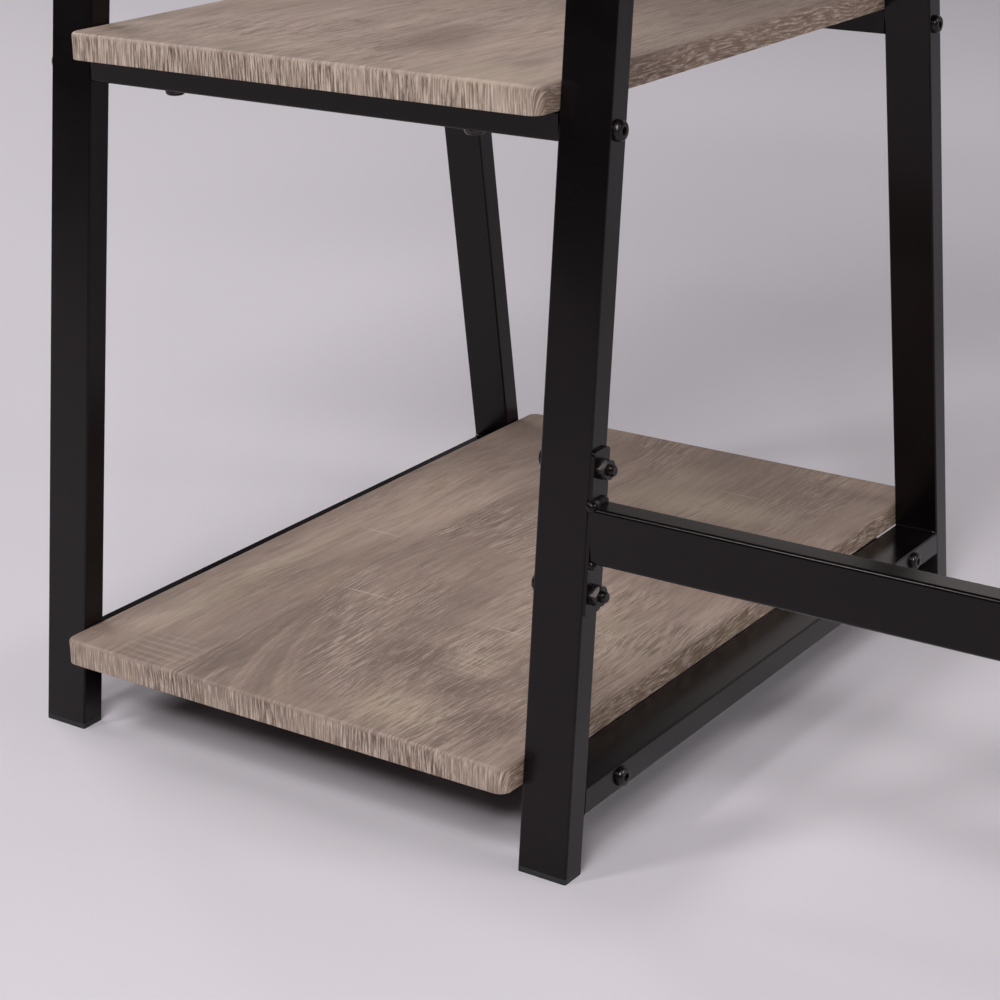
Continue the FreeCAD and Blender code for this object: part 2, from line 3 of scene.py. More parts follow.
import bpy
import mathutils
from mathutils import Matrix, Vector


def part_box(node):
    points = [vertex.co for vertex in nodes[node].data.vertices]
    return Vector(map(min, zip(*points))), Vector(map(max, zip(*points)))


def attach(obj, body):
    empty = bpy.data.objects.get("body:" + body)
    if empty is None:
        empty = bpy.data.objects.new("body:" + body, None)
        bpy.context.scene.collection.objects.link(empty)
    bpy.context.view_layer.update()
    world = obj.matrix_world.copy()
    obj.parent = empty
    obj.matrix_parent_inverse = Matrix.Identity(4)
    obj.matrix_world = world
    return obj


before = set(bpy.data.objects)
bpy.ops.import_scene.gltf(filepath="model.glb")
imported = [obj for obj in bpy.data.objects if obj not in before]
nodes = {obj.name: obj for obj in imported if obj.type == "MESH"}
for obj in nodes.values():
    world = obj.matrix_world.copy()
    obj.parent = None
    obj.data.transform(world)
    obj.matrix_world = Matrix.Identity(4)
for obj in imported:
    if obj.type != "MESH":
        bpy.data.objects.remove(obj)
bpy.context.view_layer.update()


# Welded frames
# Three slanted frames of thin rectangular steel tube, each with two legs and two rails, and the crossbar
# with its end plates. All are welded, then sprayed with a black satin powder coat, which bakes to a faint
# orange peel.

POWDER_BLACK = (0.0020, 0.0014, 0.0016, 1)
POWDER_WORN = (0.0045, 0.0033, 0.0037, 1)
POWDER_SHEEN = (0.28, 0.255, 0.26, 1)
POWDER_GLOSS = 0.80
POWDER_ROUGHNESS = (0.19, 0.25)
POWDER_CLOUD_SCALE = 14
ORANGE_PEEL_SCALE = 420
ORANGE_PEEL_DEPTH = 0.000025
POWDER_GRIT_SCALE = 2600
POWDER_GRIT_DEPTH = 0.000006
FRAMES = ("outer_frame", "inner_frame", "end_frame")
FRAME_TUBES = ("front_leg", "rear_leg", "lower_rail", "top_rail")
BARS = ("crossbar", "crossbar_inner_plate", "crossbar_end_plate")


def new_finish(name):
    """Empty node material with its shader. Returns the material and the shader."""
    finish = bpy.data.materials.new(name)
    finish.use_nodes = True
    return finish, finish.node_tree.nodes["Principled BSDF"]


def add_node(finish, kind, **settings):
    """Node in a finish. A setting names a property of the node, or one of its inputs."""
    node = finish.node_tree.nodes.new(kind)
    for name, setting in settings.items():
        if hasattr(node, name):
            setattr(node, name, setting)
        else:
            node.inputs[name.replace("_", " ").title()].default_value = setting
    return node


def join(finish, output, socket):
    """Link an output to an input of a finish."""
    finish.node_tree.links.new(output, socket)


def object_place(finish):
    """Place on the piece, in metres of the desk's own frame."""
    return add_node(finish, "ShaderNodeTexCoord").outputs["Object"]


def grain_noise(finish, place, scale, detail=3, roughness=0.55, stretch=(1, 1, 1)):
    """Noise at a scale per metre, stretched by a factor along each axis. Returns its value."""
    mapping = add_node(finish, "ShaderNodeMapping")
    mapping.inputs["Scale"].default_value = stretch
    join(finish, place, mapping.inputs["Vector"])
    noise = add_node(finish, "ShaderNodeTexNoise", scale=scale, detail=detail, roughness=roughness)
    join(finish, mapping.outputs["Vector"], noise.inputs["Vector"])
    return noise.outputs["Fac"]


def spread(finish, value, low, high, to_low=0, to_high=1):
    """Stretch the part of a value between two limits to a new range."""
    node = add_node(finish, "ShaderNodeMapRange", interpolation_type="SMOOTHSTEP")
    for name, setting in (("From Min", low), ("From Max", high), ("To Min", to_low), ("To Max", to_high)):
        node.inputs[name].default_value = setting
    join(finish, value, node.inputs["Value"])
    return node.outputs["Result"]


def blend_colours(finish, share, first, second):
    """Mix of two colours by a share. Each is a fixed colour or another mix."""
    node = add_node(finish, "ShaderNodeMix", data_type="RGBA")
    join(finish, share, node.inputs[0])
    for socket, colour in ((node.inputs[6], first), (node.inputs[7], second)):
        if isinstance(colour, tuple):
            socket.default_value = colour
        else:
            join(finish, colour, socket)
    return node.outputs[2]


def raise_surface(finish, shader, heights):
    """Bumps from one or more pairs of a height value and its depth in metres."""
    normal = None
    for height, depth in heights:
        bump = add_node(finish, "ShaderNodeBump", strength=1.0, distance=depth)
        join(finish, height, bump.inputs["Height"])
        if normal is not None:
            join(finish, normal, bump.inputs["Normal"])
        normal = bump.outputs["Normal"]
    join(finish, normal, shader.inputs["Normal"])


def powder_coat():
    """Black satin powder coat."""
    finish, shader = new_finish("black_powder_coat")
    place = object_place(finish)
    cloud = grain_noise(finish, place, POWDER_CLOUD_SCALE, detail=4)
    peel = grain_noise(finish, place, ORANGE_PEEL_SCALE, detail=2)
    grit = grain_noise(finish, place, POWDER_GRIT_SCALE, detail=1)
    tone = blend_colours(finish, spread(finish, cloud, 0.35, 0.7), POWDER_BLACK, POWDER_WORN)
    join(finish, tone, shader.inputs["Base Color"])
    join(finish, spread(finish, cloud, 0.3, 0.7, *POWDER_ROUGHNESS), shader.inputs["Roughness"])
    shader.inputs["Specular IOR Level"].default_value = POWDER_GLOSS
    shader.inputs["Specular Tint"].default_value = POWDER_SHEEN
    raise_surface(finish, shader, [(peel, ORANGE_PEEL_DEPTH), (grit, POWDER_GRIT_DEPTH)])
    return finish


def dress(names, finish):
    """Give CAD nodes a finish."""
    for name in names:
        slots = nodes[name].data.materials
        slots.clear()
        slots.append(finish)


black_coat = powder_coat()
dress([f"{name}_{tube}" for name in FRAMES for tube in FRAME_TUBES], black_coat)
dress(BARS, black_coat)


# Shelf and desktop tubes
# Square tubes of the same steel and coat. Each board lies on one in front and one behind, which are bolted
# between the frames.

TUBE_ROWS = ("lower_shelf", "upper_shelf", "desktop")
dress([f"{row}_{side}_tube" for row in TUBE_ROWS for side in ("front", "rear")], black_coat)


# Weld beads
# Short fillet welds where a rail meets a leg and where the crossbar meets its end plates, under the same
# coat. A bead is extruded in small steps that swell and shrink like weld ripples, and its copies are laid in
# place.

BEAD_OFFSET = 0.0005
BEAD_STEP = 0.0024
BEAD_SIDES = 10
BEAD_SWELLS = (1.12, 0.95, 1.06, 0.90)
BEAD_TIPS = (0.62, 0.60)
BEAD_ROLL = 1.3
CROSSBAR_BEAD_SHIFT = 0.0008

# Each kind of bead: its length and radius, and the size of the lump before its end
FRAME_BEAD = (0.029, 0.0017, 1.1)
CROSSBAR_BEAD = (0.0168, 0.0028, 1.3)


def weld_bead(length, radius, last_size):
    """Rippled bead along X, with its middle at the origin. It ends in a lump of a size."""
    first_tip, last_tip = BEAD_TIPS
    steps = round(length / BEAD_STEP)
    swells = [BEAD_SWELLS[step % len(BEAD_SWELLS)] for step in range(steps - 2)]
    sizes = [first_tip, *swells, last_size, last_tip]
    bpy.ops.object.select_all(action="DESELECT")
    bpy.ops.mesh.primitive_circle_add(vertices=BEAD_SIDES, radius=radius * first_tip, fill_type="NGON",
                                      location=(-length / 2, 0, 0), rotation=(0, math.pi / 2, 0))
    bpy.ops.object.transform_apply(location=True, rotation=True, scale=True)
    bead = bpy.context.object
    bpy.ops.object.mode_set(mode="EDIT")
    bpy.ops.mesh.select_all(action="SELECT")
    for before, after in zip(sizes, sizes[1:]):
        bpy.ops.mesh.extrude_region_move(TRANSFORM_OT_translate={"value": (length / steps, 0, 0)})
        swell = after / before
        bpy.ops.transform.resize(value=(1, swell, swell), center_override=(0, 0, 0))
    bpy.ops.mesh.select_all(action="SELECT")
    bpy.ops.mesh.normals_make_consistent(inside=False)
    bpy.ops.object.mode_set(mode="OBJECT")
    bead.modifiers.new("soften", "SUBSURF").levels = 1
    bpy.ops.object.modifier_apply(modifier="soften")
    bpy.ops.object.shade_smooth()
    return bead


def lay_beads(name, bead, places, heading):
    """Copies of a bead at several places, each rolled a little further, joined into one piece."""
    copies = []
    for count, place in enumerate(places):
        twin = bead.copy()
        twin.data = bead.data.copy()
        bpy.context.scene.collection.objects.link(twin)
        twin.location = place
        twin.rotation_euler = (count * BEAD_ROLL, 0, heading + math.pi * (count % 2))
        copies.append(twin)
    bpy.ops.object.select_all(action="DESELECT")
    for twin in copies:
        twin.select_set(True)
    piece = copies[0]
    bpy.context.view_layer.objects.active = piece
    bpy.ops.object.transform_apply(location=True, rotation=True, scale=True)
    bpy.ops.object.join()
    piece.name = name
    piece.data.name = name
    piece.data.materials.clear()
    piece.data.materials.append(black_coat)
    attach(piece, "root")
    bpy.data.objects.remove(bead)


def frame_corners(name):
    """Corners between a frame's rails and its legs. The rails' ends are cut along the lean of the legs."""
    low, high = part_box(f"{name}_lower_rail")
    top_low, top_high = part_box(f"{name}_top_rail")
    middle = (low.x + high.x) / 2
    slope = (high.y - top_high.y) / (top_low.z - low.z)
    upper_reach = high.y - slope * (high.z - low.z)
    corners = []
    for reach, height, lift in ((upper_reach, high.z, 1), (high.y, low.z, -1), (top_high.y, top_low.z, -1)):
        for side in (1, -1):
            corners.append((middle, side * (reach - BEAD_OFFSET), height + lift * BEAD_OFFSET))
    return corners


def crossbar_corners():
    """Corners between the crossbar and its end plates, above and below."""
    low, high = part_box("crossbar")
    middle = (low.y + high.y) / 2 + CROSSBAR_BEAD_SHIFT
    return [(end + inward * BEAD_OFFSET, middle, edge + outward * BEAD_OFFSET)
            for end, inward in ((high.x, -1), (low.x, 1)) for edge, outward in ((high.z, 1), (low.z, -1))]


for name in FRAMES:
    lay_beads(f"{name}_weld_beads", weld_bead(*FRAME_BEAD), frame_corners(name), 0)
lay_beads("crossbar_weld_beads", weld_bead(*CROSSBAR_BEAD), crossbar_corners(), math.pi / 2)


# Foot caps
# Black plastic plugs pressed into the legs' open ends, so that the steel doesn't mark the floor. They are
# moulded with a fine grain, and scuffed where they stand.

CAP_BLACK = (0.010, 0.010, 0.011, 1)
CAP_SCUFFED = (0.030, 0.029, 0.030, 1)
CAP_ROUGHNESS = (0.5, 0.66)
CAP_GRAIN_DEPTH = 0.00004


def cap_plastic():
    """Moulded black plastic."""
    finish, shader = new_finish("black_cap_plastic")
    place = object_place(finish)
    grain = grain_noise(finish, place, 1500, detail=2)
    scuff = grain_noise(finish, place, 90, detail=5, stretch=(1, 1, 6))
    tone = blend_colours(finish, spread(finish, scuff, 0.5, 0.75), CAP_BLACK, CAP_SCUFFED)
    join(finish, tone, shader.inputs["Base Color"])
    join(finish, spread(finish, scuff, 0.3, 0.7, *CAP_ROUGHNESS), shader.inputs["Roughness"])
    raise_surface(finish, shader, [(grain, CAP_GRAIN_DEPTH)])
    return finish


dress([f"{name}_{side}_foot_cap" for name in FRAMES for side in ("front", "rear")], cap_plastic())


# Boards
# Fifteen millimetre particle board wrapped in a printed oak foil, weathered to a grey taupe and embossed.
# The foil is drawn over all four edges, so its grain turns down the ends and runs along the sides. The
# underside has a plain backing paper.

# Colours, sheen and embossing of the print, and the backing paper
OAK_MID = (0.292, 0.210, 0.170, 1)
OAK_SMOKE = (0.138, 0.097, 0.079, 1)
OAK_PALE = (0.445, 0.346, 0.294, 1)
OAK_HONEY = (0.310, 0.222, 0.155, 1)
OAK_STRAW = (0.440, 0.355, 0.262, 1)
# Pale colour of the threads on the edges, and of the glints on the tops, which are painted highlights
OAK_FLECK_AND_PAINTED_GLINT = (0.580, 0.475, 0.410, 1)
OAK_PORE = (0.085, 0.056, 0.040, 1)
# Painted warm shade for the side edges
OAK_PAINTED_SIDE_SHADE = (0.290, 0.195, 0.128, 1)
OAK_ROUGHNESS = (0.52, 0.64)
OAK_GLOSS = 0.40
FIBRE_DEPTH = 0.00016
GLINT_DEPTH = 0.00005
BACKING_PAPER = (0.165, 0.130, 0.105, 1)
BACKING_SPECK = (0.110, 0.085, 0.068, 1)

# How the foil turns over the edges, and where it ends underneath
FOIL_CORNER = 0.007
FOIL_WRAP = 0.012
FOIL_WRAP_BLEND = 0.0006
EDGE_START = 0.0005
EDGE_FULL = 0.003
UNDERSIDE_START = 0.0002
UNDERSIDE_FULL = 0.0001
END_PULL = 0.6
END_STRAW = 0.20
# Share of the painted warm shade on the side edges
SIDE_PAINTED_SHADE = 0.55
SIDE_PALENESS = 0.35
SMALLEST_REACH = 1e-9

# How far apart the boards' stretches of the print are, how far its figure sways across the grain, how open
# the grain stands, and the marks on it
PLANK_STEP = 3
SLOW_SWAY = 0.05
PATCH_SWAY = 0.008
WAVE_SWAY = 0.004
TREMOR_SWAY = 0.0010
SECOND_PLANK_CALM = 0.6
PATCH_OPENNESS = 0.50
PORE_SHARE = 0.40
SCRATCH_WIDTH = 0.0011
SCRATCH_STRENGTH = 0.5
RIPPLE_SCALE = 50
RIPPLE_WANDER = 3.0

# Growth rings: how they close in on the seam, and their counts, coarse and fine, with a strength for each
ARCH_MARGIN = 0.005
ARCH_NEAREST = 0.001
ARCH_FADE = 0.1
ARCH_WAVER = 0.25
ARCH_PHASE = 0.71
ARCH_RINGS = ((2, 0.60), (8, 0.30))


def reckon(finish, operation, first, second=0.0, third=0.0):
    """Sum, product or the like of values, each a number or an output."""
    node = add_node(finish, "ShaderNodeMath", operation=operation)
    for socket, value in zip(node.inputs, (first, second, third)):
        if isinstance(value, (int, float)):
            socket.default_value = value
        else:
            join(finish, value, socket)
    return node.outputs[0]


def vector_part(finish, vector, name):
    """One part of a vector."""
    split = add_node(finish, "ShaderNodeSeparateXYZ")
    join(finish, vector, split.inputs[0])
    return split.outputs[name]


def product(finish, *values):
    """Product of several values."""
    total = values[0]
    for value in values[1:]:
        total = reckon(finish, "MULTIPLY", total, value)
    return total


def foil_place(finish, board, along_desk, plank, seam):
    """Place on the foil as it lay flat, before it was drawn over the edges.

    Returns the place as across the grain, along it and the number of its printed plank, how far a point lies
    down an edge, the share of a side edge in it, the board's thickness, and how far the point lies in from
    the edges on the underside.
    """
    low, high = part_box(board)
    centre = (low + high) / 2
    half = (high - low) / 2
    split = add_node(finish, "ShaderNodeSeparateXYZ")
    join(finish, object_place(finish), split.inputs[0])
    down = reckon(finish, "SUBTRACT", high.z, split.outputs["Z"])
    offsets = []
    reaches = []
    insets = []
    for axis, name in enumerate("XY"):
        offset = reckon(finish, "SUBTRACT", split.outputs[name], centre[axis])
        size = reckon(finish, "ABSOLUTE", offset)
        reach = reckon(finish, "MAXIMUM", reckon(finish, "SUBTRACT", size, half[axis] - FOIL_CORNER), 0.0)
        offsets.append(offset)
        reaches.append(reckon(finish, "MULTIPLY", reach, reach))
        insets.append(reckon(finish, "SUBTRACT", half[axis], size))
    total = reckon(finish, "ADD", reckon(finish, "ADD", reaches[0], reaches[1]), SMALLEST_REACH)
    flat = []
    shares = []
    for axis, (offset, reach) in enumerate(zip(offsets, reaches)):
        share = reckon(finish, "DIVIDE", reach, total)
        pull = 1 if axis == int(along_desk) else END_PULL
        drawn = product(finish, share, down, reckon(finish, "SIGN", offset), pull)
        flat.append(reckon(finish, "ADD", offset, drawn))
        shares.append(share)
    if along_desk:
        flat.reverse()
        shares.reverse()
    plank_number = reckon(finish, "ADD", reckon(finish, "GREATER_THAN", flat[0], seam), plank)
    merge = add_node(finish, "ShaderNodeCombineXYZ")
    for value, name in zip((flat[0], flat[1], plank_number), "XYZ"):
        join(finish, value, merge.inputs[name])
    thickness = high.z - low.z
    return merge.outputs[0], down, shares[0], thickness, reckon(finish, "MINIMUM", *insets)


def lean(finish, place, wave, sway):
    """Push a place across the grain by a slow wave, up to half of a sway to each side."""
    offset = add_node(finish, "ShaderNodeCombineXYZ")
    push = reckon(finish, "MULTIPLY", reckon(finish, "SUBTRACT", wave, 0.5), sway)
    join(finish, push, offset.inputs["X"])
    moved = add_node(finish, "ShaderNodeVectorMath", operation="ADD")
    join(finish, place, moved.inputs[0])
    join(finish, offset.outputs[0], moved.inputs[1])
    return moved.outputs[0]


def oval(finish, place, centre, reach):
    """Distance from the centre of an oval, across and along the grain, as a share of its reach."""
    mapping = add_node(finish, "ShaderNodeMapping")
    mapping.inputs["Location"].default_value = (-centre[0] / reach[0], -centre[1] / reach[1], 0)
    mapping.inputs["Scale"].default_value = (1 / reach[0], 1 / reach[1], 0)
    join(finish, place, mapping.inputs["Vector"])
    length = add_node(finish, "ShaderNodeVectorMath", operation="LENGTH")
    join(finish, mapping.outputs[0], length.inputs[0])
    return length.outputs["Value"]


def grown_rings(finish, arched, seam, nearby, place, waves):
    """Growth rings as nested arches that close in on a seam. Returns their shares, each with a strength."""
    centre, reach = arched
    apart = reckon(finish, "SUBTRACT", seam + ARCH_MARGIN, vector_part(finish, nearby, "X"))
    nearing = reckon(finish, "LOGARITHM", reckon(finish, "MAXIMUM", apart, ARCH_NEAREST), math.e)
    along = reckon(finish, "SUBTRACT", vector_part(finish, place, "Y"), centre[1])
    arch = reckon(finish, "SUBTRACT", nearing, reckon(finish, "DIVIDE", along, ARCH_FADE))
    arch = reckon(finish, "ADD", arch, reckon(finish, "MULTIPLY", waves, ARCH_WAVER))
    gate = spread(finish, oval(finish, place, centre, reach), 1.0, 0.3)
    rings = []
    for count, strength in ARCH_RINGS:
        ring = reckon(finish, "FRACT", reckon(finish, "MULTIPLY_ADD", arch, count, ARCH_PHASE))
        dark = product(finish, spread(finish, ring, 0.15, 0.80), spread(finish, ring, 1.0, 0.90))
        rings.append((product(finish, dark, gate), strength))
    return rings


def ground_figure(finish, place, swayed, wavy, paleness):
    """Slow clouds of smoke, honey and pale grey, soft bands, and a mottled figure between them."""
    cloud = grain_noise(finish, swayed, 16, detail=4, roughness=0.6, stretch=(1, 0.32, 1))
    warm = grain_noise(finish, place, 11, detail=3, stretch=(1, 0.6, 3))
    bands = grain_noise(finish, wavy, 80, detail=3, roughness=0.55, stretch=(1, 0.05, 1))
    mottle = grain_noise(finish, wavy, 230, detail=4, roughness=0.70, stretch=(1, 0.08, 1))
    tone = OAK_MID
    for pattern, none, full, least, most, colour in (
            (cloud, 0.62, 0.36, 0, 0.34, OAK_SMOKE),
            (warm, 0.50, 0.72, 0, 0.55, OAK_HONEY),
            (cloud, 0.52, 0.75, paleness, paleness + 0.25, OAK_PALE),
            (bands, 0.52, 0.34, 0, 0.26, OAK_SMOKE),
            (bands, 0.54, 0.72, 0, 0.20, OAK_PALE),
            (mottle, 0.50, 0.38, 0, 0.34, OAK_SMOKE),
            (mottle, 0.52, 0.64, 0, 0.22, OAK_PALE)):
        tone = blend_colours(finish, spread(finish, pattern, none, full, least, most), tone, colour)
    return tone


def open_shares(finish, place, nearby, open_grain, second_plank, edge):
    """How far the fibres and the pores stand open, on the edges, in the open patch and elsewhere."""
    rough = grain_noise(finish, place, 12, detail=3, stretch=(1, 0.8, 2))
    rough = spread(finish, rough, 0.42, 0.60, 0.20, 0.85)
    calm = reckon(finish, "SUBTRACT", 1.0, reckon(finish, "MULTIPLY", second_plank, SECOND_PLANK_CALM))
    rough = product(finish, rough, calm)
    near = product(finish, spread(finish, oval(finish, nearby, *open_grain), 1.0, 0.5), PATCH_OPENNESS)
    opened = reckon(finish, "MAXIMUM", reckon(finish, "MAXIMUM", rough, edge), near)
    pored = reckon(finish, "MAXIMUM", product(finish, rough, PORE_SHARE), near)
    return opened, pored


def drawn_edges(finish, tone, place, tremble, edge, side_share):
    """Stretched foil on the edges, paler down the ends, with its threads, and a painted warm shade that
    makes the sides browner.
    """
    ends = reckon(finish, "SUBTRACT", 1.0, side_share)
    tone = blend_colours(finish, product(finish, edge, ends, END_STRAW), tone, OAK_STRAW)
    # Painted shade: the side edges get a warmer, darker brown for the dimmer light that falls on them
    tone = blend_colours(finish, product(finish, edge, side_share, SIDE_PAINTED_SHADE), tone, OAK_PAINTED_SIDE_SHADE)
    threads = grain_noise(finish, tremble, 860, detail=4, roughness=0.75, stretch=(1, 0.09, 1))
    patchy = grain_noise(finish, place, 30, detail=3, stretch=(1, 0.2, 1))
    patchy = spread(finish, patchy, 0.35, 0.60, 0.25, 1)
    side_pale = reckon(finish, "MULTIPLY_ADD", side_share, SIDE_PALENESS, 1.0)
    side_dark = reckon(finish, "MULTIPLY_ADD", side_share, -SIDE_PALENESS, 1.0)
    pale_threads = product(finish, spread(finish, threads, 0.51, 0.60, 0, 0.62), edge, side_pale)
    dark_threads = product(finish, spread(finish, threads, 0.51, 0.43, 0, 0.88), edge, patchy, side_dark)
    tone = blend_colours(finish, pale_threads, tone, OAK_FLECK_AND_PAINTED_GLINT)
    return blend_colours(finish, dark_threads, tone, OAK_PORE)


def knot_ripples(finish, tone, place, nearby, ripples, own_plank):
    """Patches of soft ripples across the grain, as beside a knot."""
    wave = add_node(finish, "ShaderNodeTexWave", wave_type="BANDS", bands_direction="Y", scale=RIPPLE_SCALE)
    wave.inputs["Distortion"].default_value = RIPPLE_WANDER
    wave.inputs["Detail"].default_value = 2.0
    wave.inputs["Detail Scale"].default_value = 0.5
    join(finish, place, wave.inputs["Vector"])
    crest = spread(finish, wave.outputs["Fac"], 0.60, 0.95)
    trough = spread(finish, wave.outputs["Fac"], 0.45, 0.0, 0, 0.4)
    for centre, reach, strength in ripples:
        gate = spread(finish, oval(finish, nearby, centre, reach), 1.0, 0.2, 0, strength)
        gate = product(finish, gate, own_plank(centre))
        tone = blend_colours(finish, product(finish, crest, gate), tone, OAK_PALE)
        tone = blend_colours(finish, product(finish, trough, gate), tone, OAK_SMOKE)
    return tone


def backed(finish, tone, place, down, thickness, inset):
    """The foil ends a little way in on the underside, and the backing paper fills the rest."""
    speck = grain_noise(finish, place, 300, detail=3)
    backing = blend_colours(finish, spread(finish, speck, 0.45, 0.62), BACKING_PAPER, BACKING_SPECK)
    under = product(finish, spread(finish, down, thickness - UNDERSIDE_START, thickness - UNDERSIDE_FULL),
                    spread(finish, inset, FOIL_WRAP, FOIL_WRAP + FOIL_WRAP_BLEND))
    return blend_colours(finish, under, tone, backing)


def oak_foil(board, plank, along_desk, paleness, seam, arched, open_grain, smokes, straws, ripples,
             scratches):
    """Weathered oak foil for one board. The plank number picks another stretch of the print."""
    finish, shader = new_finish(f"oak_foil_{board}")
    place, down, side_share, thickness, inset = foil_place(finish, board, along_desk, plank, seam)
    edge = spread(finish, down, EDGE_START, EDGE_FULL)
    top = spread(finish, down, EDGE_FULL, EDGE_START)

    # The print's figure, on places that waver across the grain
    slow = grain_noise(finish, place, 6, detail=2, stretch=(1, 0.5, 1))
    waves = grain_noise(finish, place, 34, detail=2, stretch=(1, 0.7, 1))
    tremor = grain_noise(finish, place, 70, detail=2, stretch=(1, 0.8, 1))
    swayed = lean(finish, place, slow, SLOW_SWAY)
    nearby = lean(finish, place, waves, PATCH_SWAY)
    wavy = lean(finish, swayed, waves, WAVE_SWAY)
    tremble = lean(finish, wavy, tremor, TREMOR_SWAY)
    tone = ground_figure(finish, place, swayed, wavy, paleness)

    # Darker smoky patches and straw-coloured ones, each on its own printed plank
    first_plank = reckon(finish, "LESS_THAN", vector_part(finish, place, "X"), seam)
    second_plank = reckon(finish, "SUBTRACT", 1.0, first_plank)

    def own_plank(centre):
        """Share of the printed plank that a centre lies on."""
        return first_plank if centre[0] < seam else second_plank

    for patches, colour in ((smokes, OAK_SMOKE), (straws, OAK_STRAW)):
        for centre, reach, strength in patches:
            shade = spread(finish, oval(finish, nearby, centre, reach), 1.0, 0.2, 0, strength)
            tone = blend_colours(finish, product(finish, shade, own_plank(centre)), tone, colour)

    # Growth rings that are cut off at the seam of the two planks
    if arched:
        for ring_dark, strength in grown_rings(finish, arched, seam, nearby, place, waves):
            share = product(finish, ring_dark, first_plank, strength)
            tone = blend_colours(finish, share, tone, OAK_SMOKE)

    # Fine fibres, dark pores where the grain is open, a few painted highlights, all along the grain
    fibres = grain_noise(finish, tremble, 820, detail=3, roughness=0.65, stretch=(1, 0.045, 1))
    glints = grain_noise(finish, tremble, 1000, detail=2, stretch=(1, 0.14, 1))
    pores = grain_noise(finish, tremble, 1000, detail=2, stretch=(1, 0.06, 1))
    opened, pored = open_shares(finish, place, nearby, open_grain, second_plank, edge)
    for pattern, none, full, most, gate, colour in (
            (fibres, 0.50, 0.58, 0.58, opened, OAK_PALE),
            (fibres, 0.50, 0.42, 0.66, opened, OAK_SMOKE),
            (pores, 0.55, 0.60, 0.90, pored, OAK_PORE),
            # Painted highlights: pale glints along the grain, standing in for the lit embossing
            (glints, 0.62, 0.72, 0.55, opened, OAK_FLECK_AND_PAINTED_GLINT)):
        share = product(finish, spread(finish, pattern, none, full, 0, most), gate)
        tone = blend_colours(finish, share, tone, colour)
    tone = drawn_edges(finish, tone, place, tremble, edge, side_share)

    # Pale saw marks across the grain, then the ripples and the underside
    for centre, half_length in scratches:
        scratch = oval(finish, nearby, centre, (half_length, SCRATCH_WIDTH))
        scratch = spread(finish, scratch, 1.0, 0.3, 0, SCRATCH_STRENGTH)
        tone = blend_colours(finish, product(finish, scratch, top, own_plank(centre)), tone, OAK_PALE)
    tone = knot_ripples(finish, tone, place, nearby, ripples, own_plank)
    tone = backed(finish, tone, place, down, thickness, inset)

    join(finish, tone, shader.inputs["Base Color"])
    join(finish, spread(finish, fibres, 0.35, 0.65, *OAK_ROUGHNESS), shader.inputs["Roughness"])
    shader.inputs["Specular IOR Level"].default_value = OAK_GLOSS
    raise_surface(finish, shader, [(product(finish, fibres, opened), FIBRE_DEPTH), (glints, GLINT_DEPTH)])
    return finish


